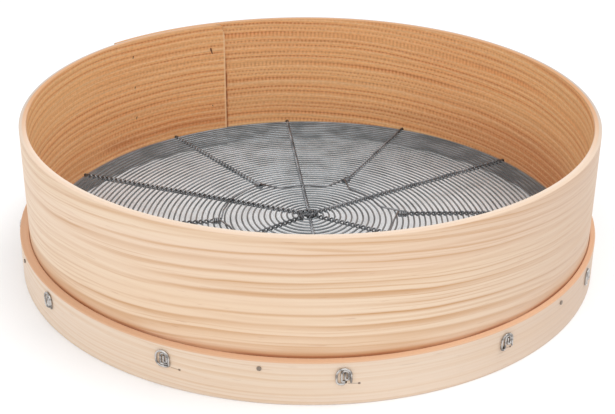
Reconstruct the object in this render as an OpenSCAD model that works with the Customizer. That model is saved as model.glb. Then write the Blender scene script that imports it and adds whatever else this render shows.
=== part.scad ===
// Bentwood sieve: a lapped wooden rim hoop with a nailed foot band round its bottom, and a
// crowned screen of spiral wire caught between pairs of radial rib wires.
// The origin is the centre of the base, +Z is up, and angles run counter-clockwise from +X.

/* [Hoops] */
// Outside diameter of the rim hoop
rim_d = 400; // [300:5:520]
// Height of the rim hoop
rim_h = 109; // [80:1:150]
// Thickness of the rim hoop's strip
rim_t = 5; // [4:0.5:8]
// Height of the foot band
band_h = 30; // [26:1:45]
// Thickness of the foot band's strip
band_t = 5; // [3.5:0.5:7]

/* [Laps] */
// Length over which the two ends of the rim's strip overlap
rim_lap_l = 100; // [70:5:110]
// Length over which the two ends of the foot band's strip overlap
band_lap_l = 70; // [50:5:80]
// Thickness left at the tip of a tapered strip end
lap_tip_t = 2.5; // [1.5:0.25:3]
// Length over which the foot band comes back to the rim past the outer end of the rim's lap
band_bridge_l = 80; // [50:5:90]

/* [Screen] */
// Height of the screen where it meets the rim
screen_z = 16; // [12:0.5:17]
// Rise of the middle of the screen above its edge
crown_h = 6.5; // [0:0.5:14]
// Distance from one turn of the spiral wire to the next
turn_pitch = 4.1; // [3.6:0.1:8]
// Diameter of the screen wires
wire_d = 1.3; // [0.8:0.1:1.5]

/* [Nails] */
// Diameter of a nail's shank
nail_d = 1.6; // [1:0.1:2]
// Diameter of a nail's head
nail_head_d = 3; // [2.4:0.1:4]
// Thickness of a nail's head
nail_head_t = 0.8; // [0.5:0.1:1.2]
// Length of a foot band nail
nail_l = 9.5; // [7:0.5:10]

/* [Hidden] */
$fn = 48;

rim_r = rim_d / 2;
rim_in_r = rim_r - rim_t;
deg_per_rad = 180 / PI;

// Clearances
ply_gap = 0.2;
band_gap = 0.3;
wire_gap = 0.1;
hole_gap = 0.3;
overrun = 1;
join_a = 0.1;

// Where the strips' ends lie, as angles round the hoop
rim_lap_a1 = 112;
rim_lap_a2 = rim_lap_a1 + rim_lap_l / rim_r * deg_per_rad;
band_bridge_a = rim_lap_a2 + band_bridge_l / rim_r * deg_per_rad;
band_lap_mid_a = 51;
band_lap_half_a = band_lap_l / rim_r * deg_per_rad / 2;
band_lap_a1 = band_lap_mid_a - band_lap_half_a;
band_lap_a2 = band_lap_mid_a + band_lap_half_a;
band_in_r = rim_r + band_gap;
band_out_r = band_in_r + band_t;

// The ribs: long and short ones take turns round the rim
long_ribs = 6;
rib_step_a = 360 / long_ribs;
long_rib_a = 36;
short_rib_a = long_rib_a - rib_step_a / 2;

// The screen's wires
wire_r = wire_d / 2;
lift = wire_d + wire_gap;
edge_clear = 2;
screen_r = rim_in_r - edge_clear;
hub_r = 2;
last_turn_r = rim_in_r - lap_tip_t - ply_gap - wire_r;
half_turns = floor((last_turn_r - hub_r) / (turn_pitch / 2));
length_end_shares = [0.42, 0.72, 1];
rib_hole_d = 2 * (lift + wire_r) + hole_gap;

// The bow of each rib wire between its two legs
hub_split_r = 18;
hub_bow_r = 10;
hub_bow_half_l = 4.5;
link_split_r = 76;
link_bow_shares = [0.28, 0.27, 0.32, 0.31, 0.31, 0.32];
link_bow_half_l = 18.5;
ramp_end_l = 4.5;
ramp_start_l = 1;
wire_bend_r = 2;
split_bend_r = 6;
ramp_bend_r = 3;

// The curl that closes each wire's end against the foot band
curl_r = 4.1;
curl_left_l = 6;
curl_bend_r = 1.3;
curl_tail_l = 2;

// The nails
foot_nails = 6;
foot_nail_a = 22;
foot_nail_drop = 5.3;
lap_nail_inset = 13;
outer_lap_nail_z_shares = [0.89, 0.65, 0.41];
inner_lap_nail_z_shares = [0.82, 0.36];
clinch_l = 5;
clinch_bend_r = 1.2;
band_lap_nails = 2;
band_lap_nail_inset = 12;
shank_clear = 0.2;

function node_names(stem, count) = [for (k = [1:count]) str(stem, k)];
lap_nail_z_shares = concat(outer_lap_nail_z_shares, inner_lap_nail_z_shares);

// A circle whose distance from the origin goes from r1 at angle a1 to r2 at angle a2
function taper_e(a1, a2, r1, r2) = (r2 - r1) / (2 * sin((a2 - a1) / 2));
function taper_circle_r(a1, a2, r1, r2) =
    let (e = taper_e(a1, a2, r1, r2))
    sqrt(r1 * r1 + 2 * r1 * e * sin((a2 - a1) / 2) + e * e);
function taper_r(a, a1, a2, r1, r2) =
    let (e = taper_e(a1, a2, r1, r2), b = a - (a1 + a2) / 2 - 90)
    e * cos(b) + sqrt(pow(taper_circle_r(a1, a2, r1, r2), 2) - pow(e * sin(b), 2));

// How far the rim's outer face, and with it the foot band, stands out at an angle
function rim_bulge(a) =
    a > rim_lap_a1 && a <= rim_lap_a2
        ? taper_r(a, rim_lap_a1, rim_lap_a2, rim_r, rim_r + lap_tip_t) - rim_r
    : a > rim_lap_a2 && a < band_bridge_a
        ? taper_r(a, rim_lap_a2, band_bridge_a, rim_r + lap_tip_t, rim_r) - rim_r
    : 0;
function band_lap_bulge(a) =
    a > band_lap_a1 && a <= band_lap_a2
        ? taper_r(a, band_lap_a1, band_lap_a2, band_out_r, band_out_r + lap_tip_t) - band_out_r
    : 0;
function band_face_r(a) = band_out_r + rim_bulge(a) + band_lap_bulge(a);

// The screen's middle surface is a shallow cone
function screen_height(r) = screen_z + crown_h * max(0, 1 - r / screen_r);
function on_screen(x, y, rise) = [x, y, screen_height(norm([x, y])) + rise];
function at_angle(r, a) = [r * cos(a), r * sin(a)];

// Middle of the gap between two turns of the spiral at angle a, nearest to radius r
function gap_r(r, a) =
    let (start = hub_r + turn_pitch * (0.5 + a / 360))
    start + turn_pitch * round((r - start) / turn_pitch);

module taper_disc(a1, a2, r1, r2) {
    if (r1 == r2)
        circle(r1, $fn = 240);
    else
        rotate((a1 + a2) / 2 + 90)
            translate([taper_e(a1, a2, r1, r2), 0])
                circle(taper_circle_r(a1, a2, r1, r2), $fn = 240);
}

module wedge(a1, a2, r) {
    steps = ceil((a2 - a1) / 60);
    reach = r / cos(30);
    polygon(concat([[0, 0]], [for (i = [0:steps]) at_angle(reach, a1 + (a2 - a1) * i / steps)]));
}

// Plan of a bent strip between two angles, with the radius of each face at either end.
// It is grown at either end by an angle to run into its neighbour, or cut short by one.
module strip(a1, a2, in1, in2, out1, out2, grow1 = 0, grow2 = 0) {
    intersection() {
        difference() {
            taper_disc(a1, a2, out1, out2);
            taper_disc(a1, a2, in1, in2);
        }
        wedge(a1 - grow1, a2 + grow2, max(out1, out2) + overrun);
    }
}

// Plan of a lap: the inner end thins towards a1 and the outer end thins towards a2.
// inner_bulge is how far the inner end stands in from the strip's inner face.
module lap(a1, a2, r_in, t, inner_bulge) {
    r_out = r_in + t;
    seam1 = r_in - inner_bulge + lap_tip_t;
    end_gap_a = band_gap / r_in * deg_per_rad;
    strip(
        a1, a2, r_in - inner_bulge, r_in, seam1 - ply_gap / 2, r_out - ply_gap / 2,
        -end_gap_a, join_a
    );
    strip(a1, a2, seam1 + ply_gap / 2, r_out + ply_gap / 2, r_out, r_out + lap_tip_t, join_a);
}

// A round hole along the radius at angle a and height z, from r1 to r2
module radial_hole(a, z, r1, r2, d) {
    rotate([0, 0, a]) translate([r1, 0, z]) rotate([0, 90, 0]) cylinder(d = d, h = r2 - r1);
}

module rib_holes() {
    for (k = [0:2 * long_ribs - 1])
        radial_hole(
            short_rib_a + k * rib_step_a / 2, screen_z, rim_in_r - lap_tip_t - overrun,
            band_out_r + lap_tip_t + overrun, rib_hole_d
        );
}

function foot_nail_angle(k) = foot_nail_a + (k - 1) * 360 / foot_nails;
function band_lap_nail_angle(k) =
    let (inset_a = band_lap_nail_inset / rim_r * deg_per_rad)
    k == 1 ? band_lap_a1 + inset_a : band_lap_a2 - inset_a;

module shank_hole(a, z, r1, r2) {
    radial_hole(a, z, r1, r2, nail_d + shank_clear);
}

module band_nail_holes() {
    tip_r = function(a) band_face_r(a) - nail_l - hole_gap;
    for (k = [1:foot_nails]) {
        a = foot_nail_angle(k);
        shank_hole(a, band_h - foot_nail_drop, tip_r(a), band_face_r(a) + overrun);
    }
    for (k = [1:band_lap_nails]) {
        a = band_lap_nail_angle(k);
        shank_hole(a, band_h / 2, tip_r(a), band_face_r(a) + overrun);
    }
}

// The rim lap's nails stand in two rows, one near each end of the lap
function lap_nail_angle(k) =
    let (inset_a = lap_nail_inset / rim_r * deg_per_rad)
    k <= len(outer_lap_nail_z_shares) ? rim_lap_a2 - inset_a : rim_lap_a1 + inset_a;
function lap_nail_z(k) = rim_h * lap_nail_z_shares[k - 1];

module lap_nail_holes() {
    for (k = [1:len(lap_nail_z_shares)])
        shank_hole(
            lap_nail_angle(k), lap_nail_z(k), rim_in_r - lap_tip_t - overrun,
            rim_r + lap_tip_t + overrun
        );
}

module rim_hoop() {
    color("sandybrown")
        difference() {
            linear_extrude(rim_h) {
                strip(rim_lap_a2, rim_lap_a1 + 360, rim_in_r, rim_in_r, rim_r, rim_r);
                lap(rim_lap_a1, rim_lap_a2, rim_in_r, rim_t, lap_tip_t);
            }
            rib_holes();
            band_nail_holes();
            lap_nail_holes();
        }
}

module foot_band() {
    out_bulge_r = band_out_r + lap_tip_t;
    in_bulge_r = band_in_r + lap_tip_t;
    color("burlywood")
        difference() {
            linear_extrude(band_h) {
                strip(band_bridge_a, band_lap_a1 + 360, band_in_r, band_in_r, band_out_r, band_out_r);
                lap(band_lap_a1, band_lap_a2, band_in_r, band_t, 0);
                strip(band_lap_a2, rim_lap_a1, band_in_r, band_in_r, band_out_r, band_out_r);
                strip(
                    rim_lap_a1, rim_lap_a2, band_in_r, in_bulge_r, band_out_r, out_bulge_r,
                    join_a, join_a
                );
                strip(
                    rim_lap_a2, band_bridge_a, in_bulge_r, band_in_r, out_bulge_r, band_out_r,
                    0, join_a
                );
            }
            rib_holes();
            band_nail_holes();
        }
}

// Bars meet in a ball that is a little larger than the wire, and each bar's end stops just
// short of the ball's middle. The ball's axis lies near the wire's.
ball_swell = 0.02;
ball_back_l = 0.1;
ball_tilt_a = 20;

module wire_ball(d) {
    rotate([ball_tilt_a, ball_tilt_a / 2, 0]) sphere(d = d + 2 * ball_swell, $fn = 24);
}

// The spiral is a row of half circles about two centres, each tilted a little so that the
// wire runs down the cone without a step
function spiral_point(i) = on_screen((hub_r + i * turn_pitch / 2) * cos(180 * i), 0, 0);
least_turn_gap = min([
    for (i = [0:half_turns - 2]) norm(spiral_point(i + 2) - spiral_point(i)) - wire_d
]);

// The wire comes in lengths that meet end to end, numbered from the middle outwards
function length_end(k) = k == 0 ? 0 : round(half_turns * length_end_shares[k - 1]);

module spiral_wire(k) {
    first = length_end(k - 1);
    next = length_end(k);
    echo(least_gap_between_turns = least_turn_gap);
    color("lightgray")
        for (i = [first:next - 1]) {
            r1 = hub_r + i * turn_pitch / 2;
            mid_r = r1 + turn_pitch / 4;
            z1 = screen_height(r1);
            z2 = screen_height(r1 + turn_pitch / 2);
            tilt = atan((z2 - z1) / (2 * mid_r));
            back_a = ball_back_l / mid_r * deg_per_rad;
            rotate([0, 0, 180 * i]) {
                translate([-turn_pitch / 4, 0, (z1 + z2) / 2])
                    rotate([0, tilt, 0])
                        rotate([0, 0, back_a])
                            rotate_extrude(angle = 180 - 2 * back_a, $fn = 96)
                                translate([mid_r / cos(tilt), 0])
                                    circle(wire_r, $fn = 16);
                if (i > first) translate([r1, 0, z1]) rotate([90, 0, 0]) wire_ball(wire_d);
            }
        }
}

// A round bar bent through a list of points, with a bend radius for each point between the
// first and the last: straight runs and arcs. A slight turn is a ball with no arc.
least_turn_a = 5;
function unit(v) = v / norm(v);
function turn_angle(u, v) = acos(min(1, max(-1, u * v)));
function corner_angle(p, i) = turn_angle(unit(p[i] - p[i - 1]), unit(p[i + 1] - p[i]));
function has_arc(p, i) = i > 0 && i < len(p) - 1 && corner_angle(p, i) > least_turn_a;
function bend_tangent(p, radii, i) = has_arc(p, i) ? radii[i] * tan(corner_angle(p, i) / 2) : 0;
function run_length(p, radii, i) =
    norm(p[i + 1] - p[i]) - bend_tangent(p, radii, i) - bend_tangent(p, radii, i + 1);

// Sets its child at point q with the child's axis along u
module along(q, u) {
    side = unit(cross(abs(u[2]) < 0.9 ? [0, 0, 1] : [1, 0, 0], u));
    up = cross(u, side);
    multmatrix([
        [side[0], up[0], u[0], q[0]],
        [side[1], up[1], u[1], q[1]],
        [side[2], up[2], u[2], q[2]]
    ])
        children();
}

module bent_bar(p, radii, d) {
    sides = 16;
    last = len(p) - 1;
    for (i = [0:last - 1])
        if (run_length(p, radii, i) > 2 * ball_back_l) {
            u = unit(p[i + 1] - p[i]);
            back1 = i == 0 ? 0 : ball_back_l;
            back2 = i == last - 1 ? 0 : ball_back_l;
            along(p[i] + u * (bend_tangent(p, radii, i) + back1), u)
                cylinder(d = d, h = run_length(p, radii, i) - back1 - back2, $fn = sides);
        }
    for (i = [1:last - 1])
        if (has_arc(p, i)) {
            u = unit(p[i] - p[i - 1]);
            v = unit(p[i + 1] - p[i]);
            a = turn_angle(u, v);
            n = unit(v - (v * u) * u);
            z = cross(u, n);
            t = bend_tangent(p, radii, i);
            c = p[i] - u * t + n * radii[i];
            back_a = ball_back_l / radii[i] * deg_per_rad;
            multmatrix([
                [-n[0], u[0], z[0], c[0]],
                [-n[1], u[1], z[1], c[1]],
                [-n[2], u[2], z[2], c[2]]
            ])
                rotate([0, 0, back_a])
                    rotate_extrude(angle = a - 2 * back_a, $fn = 48)
                        translate([radii[i], 0])
                            circle(d = d, $fn = sides);
            if (run_length(p, radii, i - 1) > 2 * ball_back_l)
                along(p[i] - u * t, u) wire_ball(d);
            along(p[i] + v * t, v) wire_ball(d);
        }
        else
            along(p[i], unit(p[i + 1] - p[i])) wire_ball(d);
}

// Points of one leg's end, from the hub side outwards: down the cone, out through the rim
// and the foot band, and round a curl on the band's face. The leg lies along angle a, rise is
// its height above the screen's surface, and plane counts curls from the band's face.
function leg_end(a, rise, plane, face_r) =
    let (
        out = at_angle(1, a),
        side = at_angle(1, a + 90),
        z = screen_z + rise,
        top_z = screen_z + lift + 2 * curl_r,
        n = face_r + wire_gap + wire_r + plane * lift,
        right_l = 2 * curl_r - curl_left_l,
        at = function(r, s, h) [r * out[0] + s * side[0], r * out[1] + s * side[1], h]
    )
    [
        at(screen_r, 0, z),
        at(n, 0, z),
        at(n, -curl_left_l, z),
        at(n, -curl_left_l, top_z),
        at(n, right_l, top_z),
        at(n, right_l, screen_z + lift + curl_tail_l)
    ];

function leg_end_radii() = [split_bend_r, curl_bend_r, curl_r, curl_r, curl_r];

function reversed(list) = [for (i = [len(list) - 1:-1:0]) list[i]];

// The face of the foot band under a curl at angle a, at its highest
function curl_face_r(a) =
    let (half_a = curl_left_l / rim_r * deg_per_rad)
    max(band_face_r(a), band_face_r(a - half_a), band_face_r(a + half_a));

// Half of the bow between a wire's legs, from the split of the leg to the middle. The middle
// lies along angle a, dir is -1 or 1 for the side, and rise is the leg's height.
function half_bow(a, dir, split_r, bow_r, bow_half_l, rise) =
    let (
        out = at_angle(1, a),
        side = at_angle(1, a + 90) * dir,
        bow_x = bow_half_l > ramp_end_l ? sqrt(bow_r * bow_r - bow_half_l * bow_half_l) : bow_r,
        at = function(x, y, h) on_screen(x * out[0] + y * side[0], x * out[1] + y * side[1], h),
        split = at_angle(split_r, a + dir * rib_step_a / 2)
    )
    concat(
        [on_screen(split[0], split[1], rise), at(bow_x, bow_half_l, rise)],
        bow_half_l > ramp_end_l ? [at(bow_r, ramp_end_l, rise)] : [],
        [at(bow_r, ramp_start_l, 0)]
    );

function half_bow_radii(bow_half_l) =
    bow_half_l > ramp_end_l
        ? [split_bend_r, split_bend_r, ramp_bend_r, ramp_bend_r]
        : [split_bend_r, wire_bend_r, wire_bend_r];

// One rib wire. Its middle lies along angle a, one leg runs out above the spiral and the
// other below it, each on a rib half a step to one side.
module rib_wire(a, split_r, bow_r, bow_half_l) {
    a1 = a - rib_step_a / 2;
    a2 = a + rib_step_a / 2;
    p = concat(
        reversed(leg_end(a1, lift, 0, curl_face_r((a1 + 360) % 360))),
        half_bow(a, -1, split_r, bow_r, bow_half_l, lift),
        reversed(half_bow(a, 1, split_r, bow_r, bow_half_l, -lift)),
        leg_end(a2, -lift, 1, curl_face_r((a2 + 360) % 360))
    );
    end_radii = leg_end_radii();
    bow_radii = half_bow_radii(bow_half_l);
    radii = concat(
        [0], reversed(end_radii), bow_radii, reversed(bow_radii), end_radii, [0]
    );
    bent_bar(p, radii, wire_d);
}

module long_rib_wire(k) {
    a = long_rib_a + (k - 0.5) * rib_step_a;
    color("gray") rib_wire(a, hub_split_r, gap_r(hub_bow_r, a), hub_bow_half_l);
}

module short_rib_wire(k) {
    a = long_rib_a + (k - 1) * rib_step_a;
    bow_r = gap_r(screen_r * link_bow_shares[k - 1], a);
    color("dimgray") rib_wire(a, link_split_r, bow_r, link_bow_half_l);
}

// A straight nail with its head on the foot band
module band_nail(a, z) {
    face_r = band_face_r(a) + wire_gap;
    color("slategray")
        rotate([0, 0, a])
            translate([face_r + nail_head_t, 0, z])
                rotate([0, -90, 0]) {
                    cylinder(d = nail_head_d, h = nail_head_t);
                    cylinder(d = nail_d, h = nail_l);
                }
}

module foot_nail(k) {
    band_nail(foot_nail_angle(k), band_h - foot_nail_drop);
}

module band_lap_nail(k) {
    band_nail(band_lap_nail_angle(k), band_h / 2);
}

// A nail through both ends of the rim's strip, with its point bent down inside
module rim_lap_nail(k) {
    a = lap_nail_angle(k);
    z = lap_nail_z(k);
    out_r = rim_r + rim_bulge(a) + wire_gap;
    in_r = taper_r(a, rim_lap_a1, rim_lap_a2, rim_in_r - lap_tip_t, rim_in_r)
        - wire_gap - nail_d / 2;
    color("slategray")
        rotate([0, 0, a]) {
            translate([out_r, 0, z]) rotate([0, 90, 0]) cylinder(d = nail_head_d, h = nail_head_t);
            bent_bar(
                [[out_r, 0, z], [in_r, 0, z], [in_r, 0, z - clinch_l]],
                [0, clinch_bend_r, 0], nail_d
            );
        }
}

rim_hoop();
foot_band();
for (k = [1:len(length_end_shares)])
    spiral_wire(k);
for (k = [1:long_ribs]) {
    long_rib_wire(k);
    short_rib_wire(k);
}
for (k = [1:foot_nails])
    foot_nail(k);
for (k = [1:len(lap_nail_z_shares)])
    rim_lap_nail(k);
for (k = [1:band_lap_nails])
    band_lap_nail(k);
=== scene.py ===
# A bentwood sieve: a lapped hoop of pine with a nailed foot band and a spiral wire screen.
# Metres, +Z up, origin at the centre of the base; angles run counter-clockwise from +X.
import bmesh
import bpy
import math
from mathutils import Matrix, Vector


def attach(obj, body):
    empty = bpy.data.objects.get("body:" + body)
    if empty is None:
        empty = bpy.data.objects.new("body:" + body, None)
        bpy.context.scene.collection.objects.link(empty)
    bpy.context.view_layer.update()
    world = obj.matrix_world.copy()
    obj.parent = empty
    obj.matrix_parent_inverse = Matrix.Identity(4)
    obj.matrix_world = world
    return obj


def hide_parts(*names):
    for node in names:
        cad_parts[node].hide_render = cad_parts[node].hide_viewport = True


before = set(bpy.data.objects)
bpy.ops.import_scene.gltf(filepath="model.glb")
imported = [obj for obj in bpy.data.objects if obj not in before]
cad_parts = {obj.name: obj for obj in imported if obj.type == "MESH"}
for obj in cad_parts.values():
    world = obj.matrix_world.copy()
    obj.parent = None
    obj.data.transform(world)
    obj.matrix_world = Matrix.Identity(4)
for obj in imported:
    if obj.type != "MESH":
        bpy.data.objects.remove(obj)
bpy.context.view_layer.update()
MM = 0.001


# The camera: a long lens in front of the sieve, looking down into it. Its place was fitted
# to the ellipses of the rim's upper edge, the foot band's ledge and the base.
camera_distance = 882.0 * MM
camera_above = math.radians(25.010)
camera_tilt = math.radians(26.456)
camera_pan = math.radians(-0.108)
camera_roll = math.radians(0.447)
aim_height = 53.5 * MM
lens = 71.619
sensor_w = 36
nearest_seen = 10 * MM

camera = bpy.data.objects.new("camera", bpy.data.cameras.new("camera"))
bpy.context.scene.collection.objects.link(camera)
camera.data.sensor_width = sensor_w
camera.data.lens = lens
camera.data.clip_start = nearest_seen
ahead = Vector((
    math.sin(camera_pan) * math.cos(camera_tilt),
    math.cos(camera_pan) * math.cos(camera_tilt),
    -math.sin(camera_tilt),
))
level = Vector((math.cos(camera_pan), -math.sin(camera_pan), 0))
upright = level.cross(ahead)
sideways = level * math.cos(camera_roll) + upright * math.sin(camera_roll)
upright = upright * math.cos(camera_roll) - level * math.sin(camera_roll)
facing = Matrix((sideways, upright, -ahead)).transposed().to_4x4()
stand = Vector((
    0,
    -camera_distance * math.cos(camera_above),
    camera_distance * math.sin(camera_above) + aim_height,
))
camera.matrix_world = Matrix.Translation(stand) @ facing
bpy.context.scene.camera = camera
bpy.context.scene.view_settings.view_transform = "Standard"


# The room: a white paper floor under an even white sky and two soft lamps. What the camera,
# gloss and glass see of the sky is plain white, and the floor keeps the sieve's shadow.
def node(tree, kind, settings=None, sockets=None, out=0):
    """Adds a node: its settings first, then the values or links of its sockets."""
    made = tree.nodes.new(kind)
    for key, value in (settings or {}).items():
        setattr(made, key, value)
    for key, value in (sockets or {}).items():
        socket = made.inputs[key]
        if isinstance(value, Shade):
            tree.links.new(value.socket, socket)
        else:
            socket.default_value = value
    return Shade(tree, made.outputs[out]) if made.outputs else None


class Shade:
    """A socket of a node tree. The usual operators on it add Math nodes."""

    def __init__(self, tree, socket):
        self.tree = tree
        self.socket = socket

    def maths(self, operation, *values):
        return node(self.tree, "ShaderNodeMath", {"operation": operation}, dict(enumerate(values)))

    def __add__(self, other):
        return self.maths("ADD", self, other)

    def __sub__(self, other):
        return self.maths("SUBTRACT", self, other)

    def __rsub__(self, other):
        return self.maths("SUBTRACT", other, self)

    def __mul__(self, other):
        return self.maths("MULTIPLY", self, other)

    def __truediv__(self, other):
        return self.maths("DIVIDE", self, other)

    __radd__ = __add__
    __rmul__ = __mul__

    def most(self, other):
        return self.maths("MAXIMUM", self, other)

    def fraction(self):
        return self.maths("FRACT", self)

    def whole(self):
        return self.maths("FLOOR", self)

    def sine(self):
        return self.maths("SINE", self)

    def cosine(self):
        return self.maths("COSINE", self)

    def size(self):
        return self.maths("ABSOLUTE", self)

    def rise(self, low, high):
        """A smooth step from 0 at low to 1 at high."""
        return node(
            self.tree, "ShaderNodeMapRange", {"interpolation_type": "SMOOTHSTEP"},
            {"Value": self, "From Min": low, "From Max": high},
        )


def rgb(red, green, blue):
    """A screen colour from 0 to 255 as the colour that the shaders take."""
    return tuple(
        c / 12.92 if c <= 0.04045 else ((c + 0.055) / 1.055) ** 2.4
        for c in (red / 255, green / 255, blue / 255)
    ) + (1,)


def blended(share, first, second):
    """One colour passing into another by a share from 0 to 1."""
    # sockets 6 and 7 of a Mix node are its two colours, and output 2 is the mixed one
    return node(
        share.tree, "ShaderNodeMix", {"data_type": "RGBA"}, {0: share, 6: first, 7: second}, out=2,
    )


def new_material(name):
    material = bpy.data.materials.new(name)
    material.use_nodes = True
    material.node_tree.nodes.clear()
    return material


def seen_rays(tree):
    """1 for the rays that only see the room: the camera's, and those of gloss and glass."""
    rays = node(tree, "ShaderNodeLightPath", out="Is Camera Ray")
    paths = rays.socket.node.outputs
    glossy = Shade(tree, paths["Is Glossy Ray"])
    return rays.most(glossy).most(Shade(tree, paths["Is Transmission Ray"]))


white_light = (1, 1, 1, 1)
sky_colour = rgb(236, 238, 242)
sky_strength = 0.865
room = bpy.data.worlds.new("room")
bpy.context.scene.world = room
room.use_nodes = True
sky = room.node_tree
sky.nodes.clear()
lit = node(sky, "ShaderNodeBackground", None, {"Color": sky_colour, "Strength": sky_strength})
white = node(sky, "ShaderNodeBackground", None, {"Color": white_light, "Strength": 1})
node(sky, "ShaderNodeOutputWorld", None, {
    "Surface": node(sky, "ShaderNodeMixShader", None, {0: seen_rays(sky), 1: lit, 2: white}),
})

# one lamp from the front left, and a narrower one from above and a little to the right: the
# way that the light goes, its strength, its breadth in degrees and its tint
for name, way, strength, breadth, tint in (
    ("front_lamp", (0.30, 1.0, -1.20), 0.70, 60, (1.0, 0.99, 0.975)),
    ("upper_lamp", (-0.30, -0.02, -0.95), 0.91, 28, (1.0, 0.995, 0.985)),
):
    lamp = bpy.data.objects.new(name, bpy.data.lights.new(name, "SUN"))
    lamp.data.energy = strength
    lamp.data.angle = math.radians(breadth)
    lamp.data.color = tint
    lamp.matrix_world = Vector(way).to_track_quat("-Z", "Y").to_matrix().to_4x4()
    bpy.context.scene.collection.objects.link(lamp)

floor_half = 6.0
floor_colour = rgb(241, 241, 241)
floor_glow = 0.08
paper = new_material("floor_paper")
tree = paper.node_tree
matt = node(tree, "ShaderNodeBsdfDiffuse", None, {"Color": floor_colour})
glow = node(tree, "ShaderNodeEmission", None, {"Color": white_light, "Strength": floor_glow})
both = node(tree, "ShaderNodeAddShader", None, {0: matt, 1: glow})
node(tree, "ShaderNodeOutputMaterial", None, {
    "Surface": node(tree, "ShaderNodeMixShader", None, {0: seen_rays(tree), 1: matt, 2: both}),
})
sheet = bpy.data.meshes.new("floor")
sheet.from_pydata(
    [(x * floor_half, y * floor_half, 0) for x, y in ((-1, -1), (1, -1), (1, 1), (-1, 1))],
    [], [(0, 1, 2, 3)],
)
sheet.materials.append(paper)
floor = bpy.data.objects.new("floor", sheet)
bpy.context.scene.collection.objects.link(floor)


# The rim hoop: one planed strip of pine, steamed and bent to a circle. Its thin inner end
# lies at the back left, its outer end laps over that for 100 mm, and nails hold the two
# together. Twelve holes near the bottom take the wires.
rim_r = 200 * MM
rim_t = 5 * MM
rim_h = 109 * MM
rim_in_r = rim_r - rim_t
rim_tip_t = 2.5 * MM
rim_ply_gap = 0.2 * MM
rim_lap_l = 100 * MM
rim_lap_a1 = 112.0
rim_lap_a2 = rim_lap_a1 + math.degrees(rim_lap_l / rim_r)
rim_corner_r = 7 * MM
rim_corner_reach_a = 6
rim_edge_r = 0.9 * MM
strip_step_a = 1.5
wire_hole_d = 2.9 * MM
wire_hole_z = 16 * MM
rim_drill_r1 = 180 * MM
rim_drill_r2 = 206 * MM
first_rib_a = 6
rib_step_a = 30
rib_angles = [first_rib_a + rib_step_a * k for k in range(12)]
front_a = 270
slack_a = 0.05

# the grain of the board: where its years arch highest, how fast they fall from there, how far
# they wander, waver, climb on the inner face and slant through the board, and the length of
# the ripple that bending left
grain_crest_l = 548 * MM
grain_arch_rate = 4.9
grain_wander_h = 16 * MM
grain_waver_h = 3 * MM
grain_climb_h = 16 * MM
grain_slant_h = 2 * MM
ripple_l = 3.3 * MM


def polar(r, side, z, a):
    """A point r out along angle a, set off sideways, at height z."""
    c, s = math.cos(math.radians(a)), math.sin(math.radians(a))
    return Vector((r * c - side * s, r * s + side * c, z))


def taper(a, a1, a2, r1, r2):
    """Radius at angle a of a face that passes evenly from r1 at a1 to r2 at a2."""
    half = math.radians((a2 - a1) / 2)
    off = (r2 - r1) / (2 * math.sin(half))
    whole_r = math.sqrt(r1 * r1 + 2 * r1 * off * math.sin(half) + off * off)
    b = math.radians(a - (a1 + a2) / 2 - 90)
    return off * math.cos(b) + math.sqrt(whole_r * whole_r - (off * math.sin(b)) ** 2)


def rim_seam(a):
    """Radius at which the rim's two ends meet in the lap, at angle a."""
    return taper(a, rim_lap_a1, rim_lap_a2, rim_in_r, rim_r)


def rim_faces(a):
    """Radii of the strip's two faces, a degrees round from the inner end of the lap."""
    a1, a2 = rim_lap_a1, rim_lap_a2
    if a <= a2:
        return taper(a, a1, a2, rim_in_r - rim_tip_t, rim_in_r), rim_seam(a) - rim_ply_gap / 2
    if a <= a1 + 360:
        return rim_in_r, rim_r
    inner = rim_seam(a - 360) + rim_ply_gap / 2
    return inner, taper(a - 360, a1, a2, rim_r, rim_r + rim_tip_t)


def tube_faces(rings, sides, first=0):
    """The faces of a closed tube: quads from ring to ring of points, and a cap at each end."""
    faces = []
    for ring in range(rings - 1):
        for i in range(sides):
            here, after = first + ring * sides, (i + 1) % sides
            faces.append((here + i, here + after, here + sides + after, here + sides + i))
    faces.append(tuple(first + i for i in reversed(range(sides))))
    faces.append(tuple(first + (rings - 1) * sides + i for i in range(sides)))
    return faces


def bent_strip(name, faces, a_start, a_end, height, edge_r, rows=14, round_steps=4):
    """A strip bent on its edge: its rounded section carried round from one end to the other."""
    # the section, as points: the cut of its rounded corner, the height, and the face, 1 outside
    levels = [edge_r * 2 + (height - edge_r * 4) * i / (rows - 1) for i in range(rows)]
    bend = [math.pi / 2 * i / round_steps for i in range(round_steps + 1)]
    opened = [edge_r * (1 - math.cos(b)) for b in bend]
    closed = [edge_r * (1 - math.sin(b)) for b in bend]
    section = [(0, z, 0) for z in levels]
    section += [(cut, height - low, 0) for cut, low in zip(opened, closed)]
    section += [(cut, height - low, 1) for cut, low in zip(closed, opened)]
    section += [(0, z, 1) for z in reversed(levels)]
    section += [(cut, low, 1) for cut, low in zip(opened, closed)]
    section += [(cut, low, 0) for cut, low in zip(closed, opened)]

    # a thin end has its corners rounded less
    least_t = 2.4 * edge_r
    count = round((a_end - a_start) / strip_step_a) + 1
    points = []
    for i in range(count):
        a = a_start + (a_end - a_start) * i / (count - 1)
        inner, outer = faces(a)
        full = min(1, (outer - inner) / least_t)
        points += [
            polar(outer - cut * full if side else inner + cut * full, 0, z, a)
            for cut, z, side in section
        ]
    mesh = bpy.data.meshes.new(name)
    mesh.from_pydata(points, [], tube_faces(count, len(section)))
    return mesh


def placed(name, mesh):
    piece = bpy.data.objects.new(name, mesh)
    bpy.context.scene.collection.objects.link(piece)
    return piece


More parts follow.
